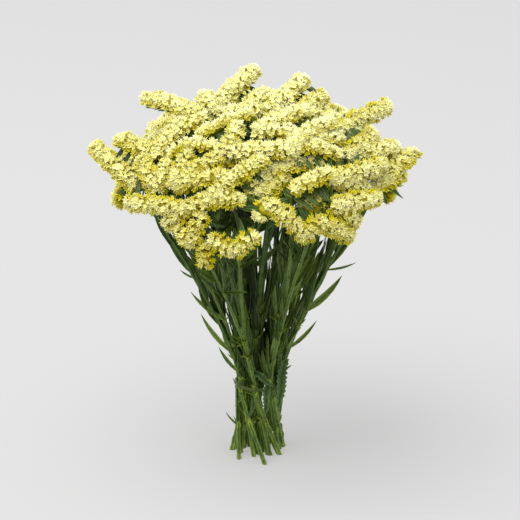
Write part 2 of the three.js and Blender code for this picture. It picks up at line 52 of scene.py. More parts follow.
TILT = math.radians(21)
DOME_RADIUS, DOME_RISE, DOME_TOP = 0.205, 0.15, 0.515
RIM = DOME_TOP - DOME_RISE
STEM_WIDTH, STEM_THICK = 0.0086, 0.0052
TWIG_WIDTH, TWIG_THICK, TWIG_PAST = 0.0052, 0.0038, 0.002
BRANCH_WIDTH, BRANCH_THICK, BRANCH_FROM = 0.0068, 0.0044, 0.12
BRANCH_LEAVING, BRANCH_ARRIVING = 0.35, 0.3
RACHIS_WIDTH, RACHIS_KEEL = 0.005, 0.004
FOOT_SUNK, FOOT_TURN = 0.006, 85
WAIST_HEIGHT, WAIST_TURN = 0.088, 22
NECK_HEIGHT, NECK_TURN = 0.113, 14
ACROSS = 0.002
SPREAD = 1.25
FORK = (0.4, 0.58)
SPIKE_HALF, SPIKE_MIDDLE, SPIKE_SEAT = 0.0135, 0.0065, 0.007
SPIKE_ARCH, SPIKE_SLOPE = 0.06, 0.5
LEAN_UP, LEAN_OUT, LEAN_SPREAD = 0.55, 0.45, 0.35
LEAF_THICK, LEAF_ROOT, LEAF_DROOP = 0.0013, 0.003, 0.12
LIMP_OUT, LIMP_ARCH = 0.006, 1.6
BRACT_LENGTH, BRACT_WIDTH, BRACT_THICK, BRACT_ANGLE = 0.024, 0.0034, 0.0016, 32
BRACT_AT, BRACT_RING = (0.36, 0.6), 0.024
TIE_HEIGHT, TIE_CORD, TIE_TURNS = 0.101, 0.002, 2

RINGS = {  # out at the foot, out at the tie, share of the foot's turn, reach
    "outer": (0.036, 0.031, 1, 0.92),
    "second": (0.029, 0.027, 0.75, 0.7),
    "third": (0.021, 0.0215, 0.9, 0.52),
    "fourth": (0.013, 0.0175, 0.6, 0.3),
    "middle": (0, 0.012, 0, 0.1),
}
WIDEST = 42
OUTER_AT = -164
OUTER_AIMS = (-143, -110, -70, -37, 15, 60, 105, 155)
OUTER_KICKS = (1.6, 1.05, 1, 1.1, 1.1, 1.1, 1, 1.3)
INNER_PAIRS = ((0, -130), (1, -98), (3, -40), (4, 45), (6, 125))


def metres(sizes):
    """Sizes in millimetres, in rows of any depth, as metres."""
    return [metres(one) for one in sizes] if isinstance(sizes, (list, tuple)) else sizes / 1000


# Heads that show from the front: where the branch ends, the tips of its spikes, and how much deeper it lies.
FRONT_HEADS = metres([
    ((-61, 461), [(-11, 513), (-71, 477)], 0),
    ((-24, 456), [(5, 483), (35, 462), (-65, 458)], 12),
    ((26, 465), [(58, 500), (14, 479)], 0),
    ((54, 460), [(82, 480), (101, 450)], 0),
    ((103, 439), [(167, 469), (136, 437)], 0),
    ((116, 400), [(147, 426), (177, 411)], 0),
    ((157, 352), [(207, 398), (188, 366)], 0),
    ((91, 369), [(158, 388), (133, 360)], 0),
    ((95, 335), [(150, 343), (124, 317)], 0),
    ((44, 344), [(91, 369)], 0),
    ((78, 313), [(114, 296), (61, 296)], 0),
    ((14, 335), [(53, 301), (5, 324)], 0),
    ((5, 340), [(-16, 364), (30, 362), (12, 382)], 22),
    ((-65, 335), [(1, 386), (-30, 337)], 0),
    ((-92, 329), [(-162, 337), (-112, 313), (-58, 342)], 0),
    ((-109, 354), [(-49, 367), (-57, 390), (-94, 392)], 0),
    ((-133, 351), [(-152, 386), (-122, 381)], 0),
    ((-164, 355), [(-217, 406), (-168, 378)], 0),
    ((-136, 394), [(-180, 418), (-97, 450)], 0),
    ((-71, 450), [(-146, 476), (-98, 434)], 0),
    ((-86, 409), [(-15, 447), (-107, 400), (-60, 404)], 0),
    ((-41, 400), [(42, 404), (-30, 432)], 0),
    ((-7, 426), [(57, 456), (40, 428)], 0),
    ((41, 407), [(103, 418), (94, 439), (98, 398)], 0),
    ((-63, 374), [(-18, 392)], 20),
    ((14, 369), [(57, 386), (91, 386)], 20),
    ((57, 321), [(91, 335)], 20),
    ((-30, 273), [(-53, 284), (-10, 287)], 0),
    ((-68, 258), [(-68, 273)], 0),
    ((-86, 283), [(-98, 299), (-75, 310)], 0),
])
# Rings of heads at the back: how many, from which bearing to which, how far out, and how far under the dome.
BACK_RINGS = ((4, 18, 162, 0.082, 0.032), (5, 0, 180, 0.130, 0.034), (6, 22, 156, 0.176, 0.046))
BACK_HEADINGS = (15, 130, 250)
BACK_SIZE, BACK_LENGTH = 1.32, 0.054

# Leaves that show from the front: base, tip and width.
FRONT_LEAVES = metres([
    ((68, 193), (114, 240), 11),
    ((50, 140), (80, 178), 7),
    ((37, 109), (46, 117), 4),
    ((102, 245), (132, 258), 4),
    ((-49, 180), (-91, 218), 7),
    ((-38, 136), (-78, 188), 8),
    ((-31, 109), (-54, 142), 6),
    ((-86, 240), (-105, 248), 3.6),
    ((-102, 278), (-117, 288), 3.2),
    ((-35, 33), (-44, 51), 3.6),
    ((12, 92), (-4, 106), 7),
    ((-12, 82), (-30, 64), 6),
    ((-8, 252), (27, 282), 10),
    ((4, 170), (15, 262), 10),
    ((-22, 288), (-14, 344), 11),
    ((-36, 284), (-33, 328), 9),
    ((62, 222), (82, 272), 10),
])
# Limp leaves that lie over the stems at the waist, as above.
WAIST_LEAVES = metres([
    ((-4, 108), (21, 90), 11),
    ((44, 122), (27, 60), 15),
    ((-34, 94), (-4, 60), 11),
    ((14, 98), (9, 50), 13),
    ((0, 86), (-12, 46), 9),
])
BACK_LEAF_PAIRS, BACK_LEAF_AT = (2, 3, 4, 5), (0.42, 0.64)
BACK_LEAF_LENGTH, BACK_LEAF_WIDTH, BACK_LEAF_ANGLE = 0.052, 0.009, 30

SWAYS = [s / 1000 for s in (0, 5, -5, 9, -9, 13, -13, 18, -18, 24, -24)]
TURNS = (0, 180, 60, 240, 120, 300)
DEPTHS = [d / 1000 for d in (0, -8, 8, -16, 16, -26, 26)]
ASIDE = (0.5, 0, 1, -0.5, 1.5)

# Where the layout lies in the frame: the tie is a ring round the layout's upright line through (ACROSS, 0).
tie_low, tie_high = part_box("tie")
ORIGIN = (tie_low + tie_high) / 2 - Vector((ACROSS, 0, TIE_HEIGHT))

UP = Vector((0, 0, 1))
VIEW_UP = Vector((0, math.sin(TILT), math.cos(TILT)))
VIEW_IN = Vector((0, math.cos(TILT), -math.sin(TILT)))


# Curves and places


def lerp(a, b, share):
    return a + (b - a) * share


def clamp(value, low, high):
    return min(max(value, low), high)


def rotated(axis, angle, direction):
    return Matrix.Rotation(angle, 3, axis) @ direction


def steady_draws(seed):
    """The same row of numbers from 0 to 1 each time, for one seed."""
    state = seed
    while True:
        state = (state * 16807) % 2147483647
        yield state / 2147483647


def on_dome(across, high):
    """The dome's point that shows at (across, high) from the front."""
    half = math.sqrt(max(DOME_RADIUS**2 - across**2, 0))
    rise = DOME_RISE * half / DOME_RADIUS * math.cos(TILT)
    run = half * math.sin(TILT)
    crest = math.atan2(run, rise)
    share = (high - RIM * math.cos(TILT)) / max(math.hypot(rise, run), 1e-9)
    turn = crest - math.acos(clamp(share, -1, 1))
    back = half * math.sin(max(turn, -math.pi / 2))
    return Vector((across, back, (high - back * math.sin(TILT)) / math.cos(TILT)))


def spike_tip(base, base_at, tip_at):
    shown = Vector(tip_at) - Vector(base_at)
    steepest = SPIKE_SLOPE * shown.length
    deeper = (on_dome(*tip_at) - on_dome(*base_at)).dot(VIEW_IN)
    return base + Vector((shown.x, 0, 0)) + VIEW_UP * shown.y + VIEW_IN * clamp(deeper, -steepest, steepest)


def at_bearing(bearing, out, z):
    turn = math.radians(bearing)
    return Vector((out * math.cos(turn), out * math.sin(turn), z))


def dome_height(out):
    return RIM + DOME_RISE * math.sqrt(max(1 - (out / DOME_RADIUS) ** 2, 0))


def outward(place):
    steep = max(place.z - RIM, 0) / DOME_RISE**2 + 0.1
    return Vector((place.x / DOME_RADIUS**2, place.y / DOME_RADIUS**2, steep)).normalized()


class Curve:
    """A smooth line with a place and a heading at each share of its length."""

    def __init__(self, place_at):
        self.at = place_at

    def heading(self, share):
        low, high = max(share - 1e-4, 0), min(share + 1e-4, 1)
        return (self.at(high) - self.at(low)).normalized()


def through(points):
    """The centripetal Catmull-Rom curve through the points."""
    points = [points[0] * 2 - points[1], *points, points[-1] * 2 - points[-2]]
    spans = [math.sqrt((b - a).length) for a, b in zip(points, points[1:])]

    def place_at(share):
        place = share * (len(points) - 3)
        k = min(int(place), len(points) - 4)
        w = place - k
        a, b, c, d = points[k : k + 4]
        before, span, after = spans[k : k + 3]
        start = ((b - a) / before - (c - a) / (before + span) + (c - b) / span) * span
        end = ((c - b) / span - (d - b) / (span + after) + (d - c) / after) * span
        bent = c * 3 - b * 3 - start * 2 - end
        return b + start * w + bent * w**2 + (b * 2 - c * 2 + start + end) * w**3

    return Curve(place_at)


def bezier(*points):
    """The Bezier curve of three or four points."""

    def place_at(share):
        row = [p.copy() for p in points]
        while len(row) > 1:
            row = [a.lerp(b, share) for a, b in zip(row, row[1:])]
        return row[0]

    return Curve(place_at)


# Heads


class SpikeLine:
    """The line of a spike: it leaves base, arches towards lean and ends at tip."""

    def __init__(self, base, tip, lean, size):
        self.base, self.along, self.size = base, tip - base, size
        self.length = self.along.length
        self.side = self.along.cross(lean).normalized()
        self.rise = self.side.cross(self.along).normalized()

    def at(self, share):
        arch = 4 * SPIKE_ARCH * self.length * share * (1 - share)
        return self.base + self.along * share + self.rise * arch

    def heading(self, share):
        return (self.along + self.rise * (4 * SPIKE_ARCH * self.length * (1 - 2 * share))).normalized()

    def above(self, share):
        return self.side.cross(self.heading(share)).normalized()


def lean_of(seat, ends):
    out = UP * LEAN_UP + outward(seat) * LEAN_OUT
    first = (ends[0] - seat).normalized()
    second = (ends[1] - seat).normalized() if len(ends) > 1 else first
    square = first.cross(second)
    if square.length < LEAN_SPREAD:
        return out
    return square * math.copysign(1, square.dot(out))


class Head:
    """The spikes that share a branch tip."""

    def __init__(self, base, tips, size=1):
        sink = outward(base) * -SPIKE_SEAT
        self.base, self.seat, self.size = base, base + sink, size
        ends = [tip + sink for tip in tips]
        lean = lean_of(self.seat, ends)
        self.spikes = [SpikeLine(self.seat, end, lean, size) for end in ends]
        self.above = sum((spike.above(0) for spike in self.spikes), Vector()).normalized()


def all_heads():
    heads = []
    for base, tips, deeper in FRONT_HEADS:
        place = on_dome(*base) + VIEW_IN * deeper
        heads.append(Head(place, [spike_tip(place, base, tip) for tip in tips]))
    for count, start, end, out, lower in BACK_RINGS:
        for k in range(count):
            base = at_bearing(lerp(start, end, k / (count - 1)), out, dome_height(out) - lower)
            normal = outward(base)
            sideways = UP.cross(normal).normalized()
            downhill = sideways.cross(normal)
            turns = [math.radians(heading) for heading in BACK_HEADINGS]
            tips = [base + (downhill * math.cos(t) + sideways * math.sin(t)) * BACK_LENGTH for t in turns]
            heads.append(Head(base, tips, BACK_SIZE))
    return heads


# Stems


class Stem:
    """One stem with the heads that it carries."""

    def __init__(self, ring, bearing, aim, kick=1):
        foot, self.tied, self.twist, self.reach = RINGS[ring]
        self.foot, self.bearing, self.aim, self.heads = foot * kick, bearing, aim, []
        turn = math.radians(bearing + NECK_TURN)
        self.wide = Vector((-math.sin(turn), math.cos(turn), 0))
        self.branches, self.bracts, self.leaves, self.limp = [], [], [], []

    def miss(self, head):
        """How far a head lies from where the stem leans to, both as places on a round chart."""
        flat = head.base.to_2d()
        share = math.degrees(math.atan2(flat.length, head.base.z - NECK_HEIGHT)) / WIDEST
        turn = math.radians(self.aim)
        return (flat.normalized() * share - Vector((math.cos(turn), math.sin(turn))) * self.reach).length

    def trunk_for(self, sway):
        aside = Vector((ACROSS, 0, 0))
        tied = at_bearing(self.bearing + NECK_TURN, self.tied, NECK_HEIGHT) + aside
        waist = at_bearing(self.bearing + WAIST_TURN, self.tied, WAIST_HEIGHT) + aside
        foot = at_bearing(self.bearing + FOOT_TURN * self.twist, self.foot, -FOOT_SUNK)
        seat = self.heads[0].seat

        def risen(share):
            place = tied.lerp(seat, share**SPREAD)
            place.z = lerp(tied.z, seat.z, share)
            return place + self.wide * (4 * sway * share * (1 - share))

        end = seat + (seat - risen(0.9)).normalized() * TWIG_PAST
        return through([foot, waist, tied, risen(0.25), risen(0.5), risen(0.75), end])

    def branch_for(self, head, share, sway):
        start = self.trunk.at(share)
        reach = (head.seat - start).length
        arriving = ((head.seat - start).normalized() + head.above).normalized()
        leaving = self.trunk.heading(share) * (reach * BRANCH_LEAVING) + self.wide * sway
        before = head.seat - arriving * (reach * BRANCH_ARRIVING)
        return bezier(start, start + leaving, before, head.seat + arriving * TWIG_PAST)


def all_pairs():
    def bearing(k):
        return OUTER_AT + 360 / len(OUTER_AIMS) * k

    pairs = [
        [Stem("outer", bearing(k), aim, kick), Stem("second", bearing(k), aim)]
        for k, (aim, kick) in enumerate(zip(OUTER_AIMS, OUTER_KICKS))
    ]
    pairs += [[Stem("third", bearing(k), aim), Stem("fourth", bearing(k), aim)] for k, aim in INNER_PAIRS]
    return pairs + [[Stem("middle", bearing(INNER_PAIRS[1][0]), -90)]]


def share_heads(stems, heads):
    """Each stem takes its nearest free head in turn, and each head that is left joins its nearest stem."""
    free = list(heads)
    for stem in stems:
        head = min(free, key=stem.miss)
        stem.heads.append(head)
        free.remove(head)
    for head in free:
        room = [stem for stem in stems if len(stem.heads) < 3]
        min(room, key=lambda stem: stem.miss(head)).heads.append(head)


# The solids show which way each stem, branch and leaf was bent clear of its neighbours.

WINGED = ((1, 0), (0, 1), (-1, 0), (0, -1))
KEELED = ((1, 0.6), (-1, 0.6), (0, -1))
FLAT = ((1, 1), (-1, 1), (-1, -1), (1, -1))


def corners(curve, share, section, wide, width, thick):
    along = curve.heading(share)
    side = (wide - along * wide.dot(along)).normalized()
    face = along.cross(side)
    place = curve.at(share)
    return [place + side * (a * width / 2) + face * (b * thick / 2) for a, b in section]


class Solid:
    """A node of the frame, asked how near a place is to its skin."""

    def __init__(self, name):
        mesh = NODES[name].data
        points = [v.co - ORIGIN for v in mesh.vertices]
        self.tree = BVHTree.FromPolygons(points, [tuple(p.vertices) for p in mesh.polygons])

    def off(self, places):
        """The mean distance of the places from the skin, with one that is far off counted as a millimetre."""
        far = [self.tree.find_nearest(place)[3] for place in places]
        return sum(min(one, 0.001) for one in far) / len(far)

    def best(self, choices, places_of):
        return min(choices, key=lambda choice: self.off(places_of(choice)))


def strap_corners(curve, steps, section, wide, widths, thicks, start=0):
    shares = [start + (1 - start) * i / steps for i in range(steps + 1)]
    return [
        corner
        for share in shares
        for corner in corners(curve, share, section, wide, lerp(*widths, share), lerp(*thicks, share))
    ]


BLADE_FROM, BLADE_ROOT, BLADE_BELLY = 0.3, 0.4, 2.6
BLADE_TAPER, BLADE_TIP, BLADE_THIN = 0.35, 0.12, 0.6


class Blade:
    """A thin leaf or bract from root to tip that arches to one side."""

    def __init__(self, root, tip, arch, section, wide, width, thick):
        self.curve = bezier(root, root.lerp(tip, 0.5) + arch, tip)
        self.section, self.wide, self.width, self.thick = section, wide, width, thick

    def places(self):
        found = []
        for share in (BLADE_FROM, (1 + BLADE_FROM) / 2, 1):
            shape = BLADE_ROOT + BLADE_BELLY * share * (1 - share) - BLADE_TAPER * share
            width = self.width * max(shape, BLADE_TIP)
            thick = self.thick * lerp(1, BLADE_THIN, share)
            found += corners(self.curve, share, self.section, self.wide, width, thick)
        return found


def bract_for(curve, share, turn):
    along = curve.heading(share)
    away = rotated(along, math.radians(turn), UP.cross(along).normalized()).normalized()
    lean = math.radians(BRACT_ANGLE)
    aim = along * math.cos(lean) + away * math.sin(lean)
    root = curve.at(share)
    wide = aim.cross(away).normalized()
    arch = away * (BRACT_LENGTH * LEAF_DROOP)
    return Blade(root, root + aim * BRACT_LENGTH, arch, KEELED, wide, BRACT_WIDTH, BRACT_THICK)


def front_leaf_for(place, along, wide, width, depth):
    root = place - along.normalized() * LEAF_ROOT
    arch = wide * (-math.copysign(1, along.x) * LEAF_DROOP * along.length)
    return Blade(root, place + along + VIEW_IN * depth, arch, FLAT, wide, width, LEAF_THICK)


def back_leaf_for(place, n, turn):
    out = Vector((place.x, place.y, 0)).normalized()
    sideways = UP.cross(out) * (1 if n % 2 else -1)
    away = (out + sideways * turn).normalized()
    lean = math.radians(BACK_LEAF_ANGLE)
    aim = away * math.sin(lean) + UP * math.cos(lean)
    wide = aim.cross(away).normalized()
    arch = away * (-LEAF_DROOP * BACK_LEAF_LENGTH)
    return Blade(place, place + aim * BACK_LEAF_LENGTH, arch, FLAT, wide, BACK_LEAF_WIDTH, LEAF_THICK)


def grow_bunch():
    """The heads and the pairs of stems, with every branch, bract and leaf in its place."""
    heads = all_heads()
    pairs = all_pairs()
    stems = [stem for pair in pairs for stem in pair]
    share_heads(stems, heads)
    solids = [Solid(green_name(pairs, k)) for k in range(len(pairs))]
    for stem, solid in with_solids(pairs, solids):
        widths, thicks = (STEM_WIDTH, TWIG_WIDTH), (STEM_THICK, TWIG_THICK)

        def trunk_corners(sway):
            return strap_corners(stem.trunk_for(sway), 7, WINGED, stem.wide, widths, thicks)

        stem.trunk = stem.trunk_for(solid.best(SWAYS, trunk_corners))
    draw = steady_draws(7)
    for stem, solid in with_solids(pairs, solids):
        for head in stem.heads[1:]:
            first = lerp(*FORK, next(draw))
            choices = [(first + later, sway) for later in (0, -0.05, 0.05, -0.1, 0.1) for sway in SWAYS]
            widths, thicks = (BRANCH_WIDTH, TWIG_WIDTH), (BRANCH_THICK, TWIG_THICK)

            def places(choice):
                branch = stem.branch_for(head, *choice)
                return strap_corners(branch, 3, KEELED, stem.wide, widths, thicks, BRANCH_FROM)

            share, sway = solid.best(choices, places)
            stem.branches.append((share, stem.branch_for(head, share, sway)))
            add_bract(stem, solid, share, 360 * next(draw))
        share = lerp(*BRACT_AT, next(draw))
        if stem.tied > BRACT_RING:
            add_bract(stem, solid, share, 360 * next(draw))
    for base, tip, width in FRONT_LEAVES:
        add_front_leaf(pairs, solids, base, tip, width)
    for k in BACK_LEAF_PAIRS:
        stem = pairs[k][0]
        for n, share in enumerate(BACK_LEAF_AT):
            place = stem.trunk.at(share)
            turn = solids[k].best(ASIDE, lambda t: back_leaf_for(place, n, t).places())
            stem.leaves.append(back_leaf_for(place, n, turn))
    for base, tip, width in WAIST_LEAVES:
        add_waist_leaf(pairs, base, tip, width)
    return heads, pairs


def green_name(pairs, k):
    return f"stems_{k + 1:02d}" if len(pairs[k]) > 1 else "stem_middle"


def with_solids(pairs, solids):
    return [(stem, solid) for pair, solid in zip(pairs, solids) for stem in pair]


MISSING = 0.0004  # a bract whose corners lie further off its solid than this was left out


def add_bract(stem, solid, share, side):
    def bract(turn):
        return bract_for(stem.trunk, share, side + turn)

    turn = solid.best(TURNS, lambda t: bract(t).places())
    if solid.off(bract(turn).places()) < MISSING:
        stem.bracts.append((share, bract(turn)))


def leaf_on_stems(pairs, base, tip):
    """The pair, stem and place that show nearest to base from the front, and a leaf's run and side there."""

    def far(found):
        place = found[2]
        return math.hypot(place.x - base[0], place.dot(VIEW_UP) - base[1]) + 0.1 * place.dot(VIEW_IN)

    shares = [0.02 + 0.01 * n for n in range(88)]
    choices = [(k, stem, stem.trunk.at(s)) for k, pair in enumerate(pairs) for stem in pair for s in shares]
    k, stem, place = min(choices, key=far)
    along = Vector((tip[0] - place.x, 0, 0)) + VIEW_UP * (tip[1] - place.dot(VIEW_UP))
    return k, stem, place, along, along.normalized().cross(VIEW_IN)


def add_front_leaf(pairs, solids, base, tip, width):
    k, stem, place, along, wide = leaf_on_stems(pairs, base, tip)
    depth = solids[k].best(DEPTHS, lambda d: front_leaf_for(place, along, wide, width, d).places())
    stem.leaves.append(front_leaf_for(place, along, wide, width, depth))


def add_waist_leaf(pairs, base, tip, width):
    """A limp leaf that lies over the stems in front of the waist."""
    _, stem, place, along, wide = leaf_on_stems(pairs, base, tip)
    out = VIEW_IN * -LIMP_OUT
    stem.limp.append(Blade(place, place + along + out, out * LIMP_ARCH, FLAT, wide, width, LEAF_THICK))


# Gathering shapes into pieces


class Heap:
    """The shapes of one piece. pit is a corner's depth in shade, painted into its colour, and tone sets a
    shape off from the next.
    """

    def __init__(self):
        self.rows, self.faces = [], []

    def add(self, places, faces, pits, tones):
        self.faces += [[corner + len(self.rows) for corner in face] for face in faces]
        self.rows += [(*place, pit, tone) for place, pit, tone in zip(places, pits, tones)]

    def mesh(self, name):
        mesh = bpy.data.meshes.new(name)
        rows = np.array(self.rows)
        mesh.from_pydata(rows[:, :3] + np.array(ORIGIN), [], self.faces)
        for column, mark in ((3, "pit"), (4, "tone")):
            mesh.attributes.new(mark, "FLOAT", "POINT").data.foreach_set("value", rows[:, column])
        piece = bpy.data.objects.new(name, mesh)
        bpy.context.scene.collection.objects.link(piece)
        open_all(piece)
        bpy.ops.mesh.normals_make_consistent(inside=False)
        bpy.ops.object.mode_set(mode="OBJECT")
        return piece


def open_all(piece):
    """Opens a piece to edit, with all of it selected."""
    bpy.ops.object.select_all(action="DESELECT")
    piece.select_set(True)
    bpy.context.view_layer.objects.active = piece
    bpy.ops.object.mode_set(mode="EDIT")
    bpy.ops.mesh.select_all(action="SELECT")


def dress(piece, node, finish):
    """The piece stands for a node of the frame, in one finish."""
    piece.data.materials.append(finish)
    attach(piece, "root")
    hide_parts(node)


def ring_faces(around, rings, steps):
    """The faces that join each ring of corners to the next, for a number of steps."""
    return [
        (i * around + j, i * around + k, (i + 1) % rings * around + k, (i + 1) % rings * around + j)
        for i in range(steps)
        for j, k in zip(range(around), [*range(1, around), 0])
    ]


def sweep(heap, curve, shares, wide, section, widths, thicks, tones, twist=0, ragged=None):
    """A closed skin along the curve. A section's corner is (across, up, pit), in shares of half the size.
    tones is one for each share, or one for all. ragged draws the share that an edge keeps at each place."""
    places, pits, tone_row = [], [], []
    for share, width, thick, tone in zip(shares, widths, thicks, np.broadcast_to(tones, len(shares))):
        along = curve.heading(share)
        side = (wide - along * wide.dot(along)).normalized()
        face = along.cross(side)
        if twist:
            side, face = rotated(along, twist * share, side), rotated(along, twist * share, face)
        place = curve.at(share)
        worn = {-1: ragged(), 1: ragged()} if ragged else {}
        for a, b, pit in section:
            places.append(place + side * (worn.get(a, 1) * a * width / 2) + face * (b * thick / 2))
            pits.append(pit)
        tone_row += [tone] * len(section)
    around, rings = len(section), len(shares)
    ends = [tuple(range(around))[::-1], tuple(range(around * (rings - 1), around * rings))]
    heap.add(places, ring_faces(around, rings, rings - 1) + ends, pits, tone_row)


# The papery calyx, modelled once

CALYX_SIDES = 12
FOOT_OUT = 0.0010
RIM_OUT, RIM_UP = 0.0032, 0.0066
THROAT_OUT, THROAT_UP = 0.0011, 0.0050
LOBE_OUT, LOBE_UP = 1.28, 0.0012  # a lobe of the rim is this many times further out, and this much higher
FOLD_IN, FOLD_DOWN = 0.8, 0.0012
NARROWEST, CRINKLE = 0.5, 0.0011
THROAT_SHARE = 0.3  # what lies nearer to the middle than this is in full shade
TOUCHING = 1e-5


def pick(shape, test):
    """Selects the open shape's corners that pass the test, and the edges and faces between them."""
    mesh = bmesh.from_edit_mesh(shape.data)
    for edge_or_face in [*mesh.edges, *mesh.faces]:
        edge_or_face.select = False
    for vert in mesh.verts:
        vert.select = test(vert.co)
    mesh.select_flush(True)


def model_calyx():
    """A papery funnel with a ruffled rim, its mouth up and its foot at the origin."""
    bpy.ops.object.select_all(action="DESELECT")
    bpy.ops.mesh.primitive_cylinder_add(
        vertices=CALYX_SIDES, radius=FOOT_OUT, depth=RIM_UP, location=(0, 0, RIM_UP / 2)
    )
    calyx = bpy.context.object
    bpy.ops.object.transform_apply(location=True, rotation=True, scale=True)
    bpy.ops.object.mode_set(mode="EDIT")
    pick(calyx, lambda co: co.z > RIM_UP - TOUCHING)
    widen(RIM_OUT / FOOT_OUT)
    bpy.ops.mesh.extrude_region_move(TRANSFORM_OT_translate={"value": (0, 0, THROAT_UP - RIM_UP)})
    widen(THROAT_OUT / RIM_OUT)
    pick(calyx, lambda co: co.z > RIM_UP - TOUCHING and ruffle_of(co) > 0)
    bpy.ops.transform.translate(value=(0, 0, LOBE_UP))
    widen(LOBE_OUT)
    pick(calyx, lambda co: abs(co.z - RIM_UP) < TOUCHING and ruffle_of(co) < 0)
    bpy.ops.transform.translate(value=(0, 0, -FOLD_DOWN))
    widen(FOLD_IN)
    bpy.ops.object.mode_set(mode="OBJECT")
    return calyx


def widen(times):
    bpy.ops.transform.resize(value=(times, times, 1), center_override=(0, 0, 0))


def ruffle_of(co):
    return math.cos(CALYX_SIDES / 2 * math.atan2(co.x, co.y))


def template_of(shape):
    """A modelled shape's corners, faces and depths in shade. The shape is then taken away."""
    places = np.array([tuple(v.co) for v in shape.data.vertices])
    faces = [tuple(p.vertices) for p in shape.data.polygons]
    bpy.data.objects.remove(shape)
    out = np.hypot(places[:, 0], places[:, 1])
    return places, faces, 1 - np.clip((out / out.max() - THROAT_SHARE) / (1 - THROAT_SHARE), 0, 1)


def crinkled(template, pits, chance):
    """The template with its rim pushed about, so that no two calyces are alike."""
    push = np.array([[chance.uniform(-1, 1) for _ in range(3)] for _ in template])
    return template * (chance.uniform(NARROWEST, 1), 1, 1) + push * CRINKLE * (1 - pits[:, None])


def stood(template, place, axis, spin, size):
    """The corners of a template set with its up along axis."""
    turn = axis.to_track_quat("Z", "Y").to_matrix() @ Matrix.Rotation(spin, 3, "Z")
    return template @ np.array(turn * size).T + np.array(place)


# Florets along a spike

PITCH_ALONG, PITCH_ROUND = 0.0053, 0.0056
TUFT, TUFT_LONG = 0.0013, 0.0040  # how far the calyces stand out in tufts, and how long a tuft is
WRAP = 82  # how far the calyces reach down each side of their spike
CREST = 0.75  # how far they turn to its upper side
WOBBLE, TILT_MOST = 9, 20
LEAN_BACK, LEAN_AHEAD, LEAN_OVER = -14, 26, 27  # at the spike's start, at its tip, and for each row past it
PAST_TIP = ((1, 1), (0.94, 0.86), (0.8, 0.6))  # how wide and how full each of the last rows is
SHALLOWEST, FURTHEST = 0.72, 1.12  # a mouth's place, in shares of the spike's half width
SMALLEST, LARGEST = 0.85, 1.25
UNSHADED_ABOVE, SHADED_BELOW = 0.5, 0.34  # heights: spikes above the first take no painted shade, and spikes below the second take the most
# Gold that differs at random from spike to spike, and more gold for low spikes as painted shade.
AGED, SHADE_GOLD_LOW = 0.14, 0.26
SIDES_HIGH, SIDES_LOW = 0.5, 0.9  # how much more gold the sides of a high spike and of a low one are, as painted shade on a spike's flanks
HEART_SHARES, HEART_WIDTHS = (0.02, 0.12, 0.35, 0.6, 0.85, 0.99), (0.4, 0.9, 1.15, 1.15, 1.05, 0.5)
HEART_TOP, HEART_UNDER = 1.3, 2  # pits: painted shade, gold above and dark olive below
HEART_SECTION = [
    (math.cos(math.radians(a)), math.sin(math.radians(a)), HEART_TOP if a < 200 else HEART_UNDER)
    for a in range(0, 360, 45)
]


def add_florets(heap, spike, solid, calyx, chance):
    """Sets papery calyces side by side round a spike, with their mouths on the head's skin."""
    template, faces, pits = calyx
    half, size, wrap = SPIKE_HALF * spike.size, spike.size**0.7, math.radians(WRAP)
    rows = max(2, round(spike.length * 0.9 / (PITCH_ALONG * size)))
    low = clamp((UNSHADED_ABOVE - spike.base.z) / (UNSHADED_ABOVE - SHADED_BELOW), 0, 1)
    tone_and_shade_gold = AGED * chance.random() + SHADE_GOLD_LOW * low
    phase, swirl = chance.uniform(0, 6), chance.uniform(0, 6)
    for row in range(rows + len(PAST_TIP)):
        share = lerp(0.1, 1, min(row, rows) / rows)
        over = max(row - rows, 0)
        swell, full = PAST_TIP[over]
        swell *= min(1, 0.74 + share)
        ahead = lerp(LEAN_BACK, LEAN_AHEAD, share**2) + LEAN_OVER * over
        columns = max(3, round(2 * wrap * half * swell * full / (PITCH_ROUND * size)))
        for column in range(columns + row % 2):
            turn = wrap * ((2 * column + (0 if row % 2 else 1)) / columns - 1)
            turn += math.radians(chance.uniform(-WOBBLE, WOBBLE))
            place = clamp(share + chance.uniform(-0.3, 0.3) * PITCH_ALONG / spike.length, 0, 1)
            above, along = spike.above(place), spike.heading(place)
            centre = spike.at(place) + above * (SPIKE_MIDDLE * spike.size)
            out = above * math.cos(turn) + spike.side * math.sin(turn)
            lean = math.radians(ahead + chance.uniform(-WOBBLE, WOBBLE))
            out = out * math.cos(lean) + along * math.sin(lean)
            hit = solid.tree.ray_cast(centre, out)[3]
            hit = half * swell if hit is None else clamp(hit, SHALLOWEST * half, FURTHEST * half)
            wave = place * spike.length / TUFT_LONG + phase + 1.5 * math.sin(2 * turn + swirl)
            reach = lerp(half * swell, hit, 0.4) + TUFT * math.sin(wave) + chance.uniform(-0.0013, 0.0010)
            scale = size * chance.uniform(SMALLEST, LARGEST)
            axis = (out + above * CREST).normalized()
            for hinge in (along, spike.side):
                axis = rotated(hinge, math.radians(chance.uniform(-TILT_MOST, TILT_MOST)), axis)
            foot = centre + out * reach - axis * (RIM_UP * scale)
            # More gold down a spike's flanks and on low spikes is painted shade; the rest differs at random.
            gold = tone_and_shade_gold + lerp(SIDES_HIGH, SIDES_LOW, low) * (turn / wrap) ** 2 + chance.uniform(-0.12, 0.14)
            tones = [clamp(gold, 0, 1)] * len(pits)
            shape = crinkled(template, pits, chance)
            spin = chance.uniform(0, 6.3)
            heap.add(stood(shape, foot, axis, spin, scale), faces, pits, tones)


def add_heart(heap, spike):
    """The inside of a spike, between its calyces, coloured as painted shade: gold above, and dark olive below
    over the spike's own green underside.
    """
    core = Curve(lambda share: spike.at(share) + spike.above(share) * (SPIKE_MIDDLE * spike.size))
    across = [SPIKE_HALF * spike.size * w for w in HEART_WIDTHS]
    sweep(heap, core, HEART_SHARES, -spike.side, HEART_SECTION, across, across, 0.5)
